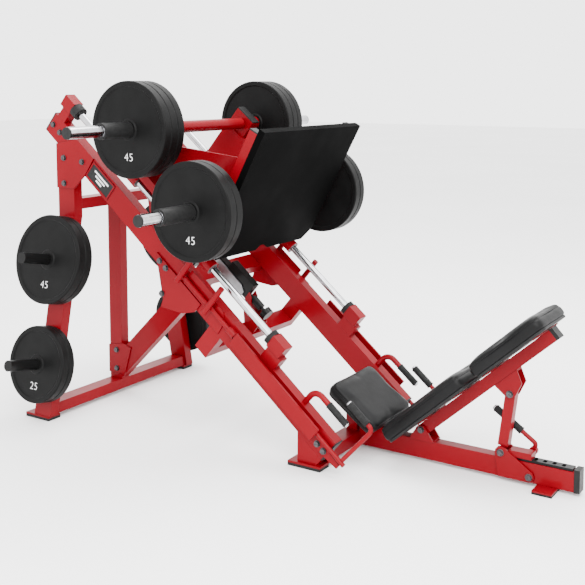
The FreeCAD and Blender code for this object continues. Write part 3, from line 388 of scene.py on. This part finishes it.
def cushion_blank(half_x, half_y, thickness, corner, nose):
    """Stack of rounded outlines: straight sides, then a soft shoulder up to a crowned top."""
    layers = [(0.0, 0.004), (0.006, 0.0), (thickness * 0.5, 0.0)]
    shoulder = nose
    for step in range(1, 7):
        angle = math.pi / 2 * step / 6
        rise = thickness - shoulder + shoulder * math.sin(angle)
        layers.append((rise, shoulder * (1 - math.cos(angle))))
    mesh = bmesh.new()
    rings = []
    for height, inset in layers:
        outline = rounded_rectangle(half_x - inset, half_y - inset, max(corner - inset * 0.4, 0.012))
        rings.append([mesh.verts.new((x, y, height)) for x, y in outline])
    for lower, upper in zip(rings, rings[1:]):
        for index in range(len(lower)):
            after = (index + 1) % len(lower)
            mesh.faces.new((lower[index], lower[after], upper[after], upper[index]))
    mesh.faces.new(list(reversed(rings[0])))
    mesh.faces.new(rings[-1])
    return mesh


def swell(obj, cap):
    """Cloth simulation under pressure, with each point's movement capped; the base stays put."""
    rest = [vertex.co.copy() for vertex in obj.data.vertices]
    base = min(point.z for point in rest)
    pinned = obj.vertex_groups.new(name="base")
    pinned.add([n for n, point in enumerate(rest) if point.z < base + 0.008], 1.0, "REPLACE")
    cloth = obj.modifiers.new("Cloth", "CLOTH")
    cloth.settings.use_pressure = True
    cloth.settings.uniform_pressure_force = 4.0
    cloth.settings.vertex_group_mass = "base"
    cloth.settings.effector_weights.gravity = 0.0
    cloth.settings.tension_stiffness = 60.0
    cloth.settings.compression_stiffness = 60.0
    cloth.settings.shear_stiffness = 30.0
    cloth.settings.bending_stiffness = 8.0
    scene = bpy.context.scene
    for number in range(1, 21):
        scene.frame_set(number)
    apply_modifiers(obj)
    scene.frame_set(1)
    for vertex, start in zip(obj.data.vertices, rest):
        step = (vertex.co - start) * Vector((0.35, 0.35, 1.0))
        vertex.co = start + step
        if step.length > cap:
            vertex.co = start + step.normalized() * cap
        vertex.co.z = max(vertex.co.z, base)


def make_cushion(name, node, body, slope, corner, nose):
    """Upholstered pad in its CAD solid's place: sewn vinyl over foam, crowned by a cloth simulation."""
    turn = tilt(slope)
    low, high = node_box(node, turn)
    middle = (low + high) / 2
    half_x = (high.x - low.x) / 2 - 0.001
    half_y = (high.y - low.y) / 2 - 0.001
    thickness = high.z - low.z - BOARD
    blank = cushion_blank(half_x, half_y, thickness, corner, nose)
    data = bpy.data.meshes.new(name)
    blank.to_mesh(data)
    blank.free()
    obj = bpy.data.objects.new(name, data)
    bpy.context.scene.collection.objects.link(obj)
    remesh = obj.modifiers.new("Remesh", "REMESH")
    remesh.mode = "VOXEL"
    remesh.voxel_size = 0.006
    apply_modifiers(obj)
    swell(obj, PUFF)
    relax = obj.modifiers.new("Relax", "SMOOTH")
    relax.factor = 0.5
    relax.iterations = 12
    apply_modifiers(obj)
    pull_in_seam(obj, half_x, half_y, thickness - SEAM_DROP)
    smooth = obj.modifiers.new("Subdivision", "SUBSURF")
    smooth.levels = 1
    smooth.render_levels = 1
    apply_modifiers(obj)
    for face in obj.data.polygons:
        face.use_smooth = True
    place = Matrix.Translation(turn @ Vector((middle.x, middle.y, low.z + BOARD))) @ turn
    make_welt(name + "_seam", body, place, obj, (half_x, half_y, thickness - SEAM_DROP))
    obj.data.transform(place)
    dress(obj, VINYL)
    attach(obj, body)
    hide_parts(node)
    make_board(name + "_board", body, place, half_x, half_y, corner)
    return obj


def pull_in_seam(obj, half_x, half_y, height):
    """Draws the side walls in along the seam between the top panel and the border."""
    for vertex in obj.data.vertices:
        near = math.exp(-((vertex.co.z - height) / 0.005) ** 2)
        side = max(abs(vertex.co.x) / half_x, abs(vertex.co.y) / half_y)
        if side > 0.93:
            vertex.co.x *= 1 - 0.0028 * near / half_x
            vertex.co.y *= 1 - 0.0028 * near / half_y


def make_welt(name, body, place, cushion, reach):
    """Fine piped seam that hugs the cushion, between its top panel and its border."""
    half_x, half_y, height = reach
    tree = BVHTree.FromObject(cushion, bpy.context.evaluated_depsgraph_get())
    points = []
    for x, y in rounded_rectangle(half_x * 1.2, half_y * 1.2, half_y * 0.6, 24):
        start = Vector((x, y, height))
        spot = tree.ray_cast(start, Vector((-x, -y, 0)).normalized())[0]
        points.append(spot)
    curve = bpy.data.curves.new(name, "CURVE")
    curve.dimensions = "3D"
    curve.bevel_depth = 0.0013
    curve.bevel_resolution = 3
    spline = curve.splines.new("POLY")
    spline.points.add(len(points) - 1)
    for point, spot in zip(spline.points, points):
        point.co = (*(place @ spot), 1)
    spline.use_cyclic_u = True
    obj = bpy.data.objects.new(name, curve)
    bpy.context.scene.collection.objects.link(obj)
    curve.materials.append(VINYL)
    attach(obj, body)


def make_board(name, body, place, half_x, half_y, corner):
    """Plastic-faced board that the cushion is stapled to."""
    mesh = bmesh.new()
    rings = []
    for height, inset in ((-BOARD, 0.008), (-BOARD * 0.8, 0.006), (-0.001, 0.006), (0.003, 0.010)):
        outline = rounded_rectangle(half_x - inset, half_y - inset, corner)
        rings.append([mesh.verts.new((x, y, height)) for x, y in outline])
    for lower, upper in zip(rings, rings[1:]):
        for index in range(len(lower)):
            after = (index + 1) % len(lower)
            mesh.faces.new((lower[index], lower[after], upper[after], upper[index]))
    mesh.faces.new(list(reversed(rings[0])))
    mesh.faces.new(rings[-1])
    mesh.transform(place)
    obj = place_mesh(name, mesh, PLASTIC, body)
    for face in obj.data.polygons:
        face.use_smooth = False
    return obj


# ---- Ribbed grips -------------------------------------------------------------------------------

def lathe(name, start, axis, profile, material, body, steps=40):
    """Piece turned about an axis from (distance along, radius) points."""
    turn = axis.to_track_quat("Z", "Y").to_matrix().to_4x4()
    mesh = bmesh.new()
    rings = []
    for along, radius in profile:
        ring = [
            mesh.verts.new((radius * math.cos(2 * math.pi * k / steps), radius * math.sin(2 * math.pi * k / steps), along))
            for k in range(steps)
        ]
        rings.append(ring)
    for lower, upper in zip(rings, rings[1:]):
        for index in range(steps):
            after = (index + 1) % steps
            mesh.faces.new((lower[index], lower[after], upper[after], upper[index]))
    mesh.faces.new(list(reversed(rings[0])))
    mesh.faces.new(rings[-1])
    mesh.transform(Matrix.Translation(start) @ turn)
    return place_mesh(name, mesh, material, body)


def grip_profile(length, radius):
    """Flanged rubber grip with finger ribs along its middle."""
    profile = [(0.0, radius * 0.82), (0.001, radius * 0.98), (0.006, radius), (0.008, radius * 0.9)]
    ribs = max(6, int((length - 0.02) / 0.007))
    pitch = (length - 0.020) / ribs
    for rib in range(ribs):
        along = 0.010 + rib * pitch
        profile += [(along, radius * 0.88), (along + pitch * 0.25, radius * 0.95), (along + pitch * 0.65, radius * 0.95),
                    (along + pitch * 0.9, radius * 0.88)]
    profile += [(length - 0.009, radius * 0.9), (length - 0.007, radius), (length - 0.002, radius * 0.97),
                (length, radius * 0.8)]
    return profile


def rising_axis(node):
    """Direction in which a cylinder's length runs, pointing upwards."""
    corners = solids(node)[0]
    centre = sum(corners, Vector()) / len(corners)
    reach = max((corner - centre for corner in corners), key=lambda step: step.length)
    end = [corner for corner in corners if (corner - centre).dot(reach) > 0]
    axis = (sum(end, Vector()) / len(end) - centre).normalized()
    return axis if axis.z > 0 else -axis


def make_grips(node, body, axis, chrome_end):
    """Ribbed grips in place of a CAD node's plain ones, with a chromed end plug where it has one."""
    made = []
    for number, corners in enumerate(solids(node)):
        turn = axis.to_track_quat("Z", "Y").to_matrix().to_4x4()
        low, high = local_box(corners, turn)
        centre = (low + high) / 2
        length = high.z - low.z
        radius = (high.x - low.x) / 2
        plug = 0.008 if chrome_end else 0.0
        start = turn @ Vector((centre.x, centre.y, low.z))
        name = f"{node}_ribbed_{number}"
        made.append(lathe(name, start, axis, grip_profile(length - plug, radius), RUBBER, body))
        if chrome_end:
            end = start + axis * (length - plug)
            profile = [(0.0, radius * 0.7), (0.004, radius * 0.72), (0.007, radius * 0.6), (0.008, radius * 0.3)]
            lathe(name + "_plug", end, axis, profile, CHROME, body)
    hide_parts(node)
    return made


# ---- Markings -----------------------------------------------------------------------------------

def make_numeral(name, text, centre, up, outward, height, body):
    """Raised white number on a disc's face."""
    curve = bpy.data.curves.new(name, "FONT")
    curve.body = text
    curve.size = height
    curve.align_x = "CENTER"
    curve.align_y = "CENTER"
    curve.extrude = 0.0004
    curve.offset = -0.0009
    curve.space_character = 1.1
    obj = bpy.data.objects.new(name, curve)
    bpy.context.scene.collection.objects.link(obj)
    across = up.cross(outward)
    obj.matrix_world = Matrix.Translation(centre) @ Matrix((across, up, outward)).transposed().to_4x4()
    curve.materials.append(INK)
    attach(obj, body)
    return obj


def disc_groups(node):
    """Each disc's centre and radius, one pair for each separate solid."""
    found = []
    for corners in solids(node):
        low = Vector([min(c[axis] for c in corners) for axis in range(3)])
        high = Vector([max(c[axis] for c in corners) for axis in range(3)])
        found.append(((low + high) / 2, (high.x - low.x) / 2))
    return found


def number_discs(node, body, lean, label_for):
    """Marks the outermost disc of each stack near the bottom of its face."""
    discs = disc_groups(node)
    for number, (centre, radius) in enumerate(discs):
        side = 1 if centre.y > 0 else -1
        outward = Vector((0, math.cos(lean) * side, math.sin(lean)))
        stack = [other for other, _ in discs if (other - centre).cross(outward).length < 0.05]
        if any((other - centre).dot(outward) > 0.01 for other in stack):
            continue
        thickness = 0.0413 if radius > 0.19 else 0.035
        face = centre + outward * (thickness / 2 - 0.0052)
        up = Vector((0, -math.sin(lean) * side, math.cos(lean)))
        spot = face - up * radius * 0.57
        make_numeral(f"{node}_numeral_{number}", label_for(radius), spot, up, outward, 0.047, body)


def make_badge():
    """Raised red border and plain stripes on the blank badge."""
    turn = tilt(RAIL_SLOPE)
    low, high = node_box("name_plate", turn)
    border = 0.007
    rim = bmesh.new()
    bars = [
        (low.x, low.x + border, low.z, high.z),
        (high.x - border, high.x, low.z, high.z),
        (low.x + border, high.x - border, low.z, low.z + border),
        (low.x + border, high.x - border, high.z - border, high.z),
    ]
    for x_low, x_high, z_low, z_high in bars:
        add_bar(rim, x_low, x_high, low.y - 0.0015, low.y, z_low, z_high)
    rim.transform(turn)
    flatten(place_mesh("badge_border", rim, RED, "frame"))
    stripes = bmesh.new()
    width = high.x - low.x
    for number, share in enumerate((0.62, 0.42, 0.24)):
        z_middle = low.z + (high.z - low.z) * (0.68 - 0.19 * number)
        x_middle = (low.x + high.x) / 2
        reach = width * share / 2
        add_bar(stripes, x_middle - reach, x_middle + reach, low.y - 0.0008, low.y, z_middle - 0.004, z_middle + 0.004)
    stripes.transform(turn)
    flatten(place_mesh("badge_stripes", stripes, INK, "frame"))


def add_bar(mesh, x_low, x_high, y_low, y_high, z_low, z_high):
    """Box between the given bounds, with square edges."""
    made = bmesh.ops.create_cube(mesh, size=1.0)["verts"]
    scale = Matrix.Diagonal((x_high - x_low, y_high - y_low, z_high - z_low, 1))
    middle = Vector(((x_low + x_high) / 2, (y_low + y_high) / 2, (z_low + z_high) / 2))
    bmesh.ops.transform(mesh, matrix=Matrix.Translation(middle) @ scale, verts=made)


def flatten(obj):
    for face in obj.data.polygons:
        face.use_smooth = False
    return obj


# ---- Studio -------------------------------------------------------------------------------------

def make_floor():
    mesh = bmesh.new()
    bmesh.ops.create_grid(mesh, x_segments=1, y_segments=1, size=30.0)
    data = bpy.data.meshes.new("floor")
    mesh.to_mesh(data)
    mesh.free()
    floor = bpy.data.objects.new("floor", data)
    floor.location.z = cad_low.z - 0.0005
    bpy.context.scene.collection.objects.link(floor)
    pale = Surface("floor_pale")
    pale.colour(pale.noise(0.5), (0.8, 0.8, 0.8), (0.84, 0.84, 0.84))
    pale.roughness(pale.noise(2.0), 0.7, 0.8)
    dress(floor, pale.material)


def add_area_light(name, location, target, size, power):
    light = bpy.data.lights.new(name, "AREA")
    light.shape = "RECTANGLE"
    light.size = size[0]
    light.size_y = size[1]
    light.energy = power
    obj = bpy.data.objects.new(name, light)
    obj.location = location
    obj.rotation_mode = "QUATERNION"
    obj.rotation_quaternion = (Vector(target) - Vector(location)).to_track_quat("-Z", "Y")
    bpy.context.scene.collection.objects.link(obj)


def make_lights():
    middle = (0.0, 0.0, 0.7)
    add_area_light("key_light", (2.6, -3.4, 4.2), middle, (3.2, 3.2), 420)
    add_area_light("fill_light", (-1.0, -5.6, 1.6), middle, (3.5, 3.0), 35)
    add_area_light("top_light", (0.2, 1.2, 5.2), middle, (4.0, 3.0), 460)
    world = bpy.data.worlds.new("studio")
    world.use_nodes = True
    background = world.node_tree.nodes["Background"]
    background.inputs["Color"].default_value = (1, 1, 1, 1)
    background.inputs["Strength"].default_value = 3.8
    bpy.context.scene.world = world


def make_camera():
    """The photograph's view: from beside the head end, a little above the horns."""
    camera = bpy.data.cameras.new("camera")
    camera.sensor_width = 36.0
    camera.lens = 59.76
    camera.shift_y = -0.2
    camera.clip_end = 100
    obj = bpy.data.objects.new("camera", camera)
    obj.location = (2.2408, -3.5092, 1.5222)
    obj.rotation_euler = Euler((math.radians(90 - 5.38), 0, math.radians(32.856)))
    bpy.context.scene.collection.objects.link(obj)
    bpy.context.scene.camera = obj


# ---- Assembly -----------------------------------------------------------------------------------

def round_edges(node, width):
    """Rolled edges on a CAD node."""
    bevel = nodes[node].modifiers.new("Rolled edges", "BEVEL")
    bevel.width = width
    bevel.segments = 4
    bevel.limit_method = "ANGLE"
    bevel.angle_limit = math.radians(40)


def make_trolley_bolts():
    """Plated bolt heads on the trolley's cheeks, over its fused ones."""
    for side in (-1, 1):
        for number, (x, z) in enumerate(((0.948, 0.110), (1.062, 0.036))):
            spot = Vector((x, side * 0.0341, z))
            out = Vector((0, side, 0))
            washer = [(0.0, 0.0146), (0.0015, 0.0146), (0.0023, 0.0138)]
            head = [(0.0, 0.0124), (0.0066, 0.0124), (0.0073, 0.0112), (0.0073, 0.005)]
            name = f"trolley_bolt_{'left' if side < 0 else 'right'}_{number}"
            lathe(name + "_washer", spot, out, washer, ZINC, "trolley_body")
            flatten(lathe(name + "_head", spot + out * 0.002, out, head, ZINC, "trolley_body", 6))


dress_cad_nodes()
dress(nodes["damper_plate"], STEEL)
round_edges("foot_plate", 0.007)
make_trolley_bolts()
make_cushion("seat_cushion", "seat_pad", "frame", SEAT_SLOPE, 0.026, 0.014)
make_cushion("lower_back_cushion", "back_pad_lower", "backrest", BACK_SLOPE, 0.026, 0.016)
make_cushion("upper_back_cushion", "back_pad_upper", "backrest", BACK_SLOPE, 0.034, 0.022)

rail_down = tilt(RAIL_SLOPE) @ Vector((1, 0, 0))
make_grips("grab_grips", "frame", rail_down, True)
make_grips("lever_grip_left", "stop_left", -rail_down, True)
make_grips("lever_grip_right", "stop_right", -rail_down, True)
make_grips("adjuster_grip", "adjuster", rising_axis("adjuster_grip"), True)

number_discs("weight_plates", "sled", 0.0, lambda radius: "45")
number_discs("storage_plates", "frame", math.atan(0.2), lambda radius: "45" if radius > 0.19 else "25")
make_badge()

make_floor()
make_lights()
make_camera()
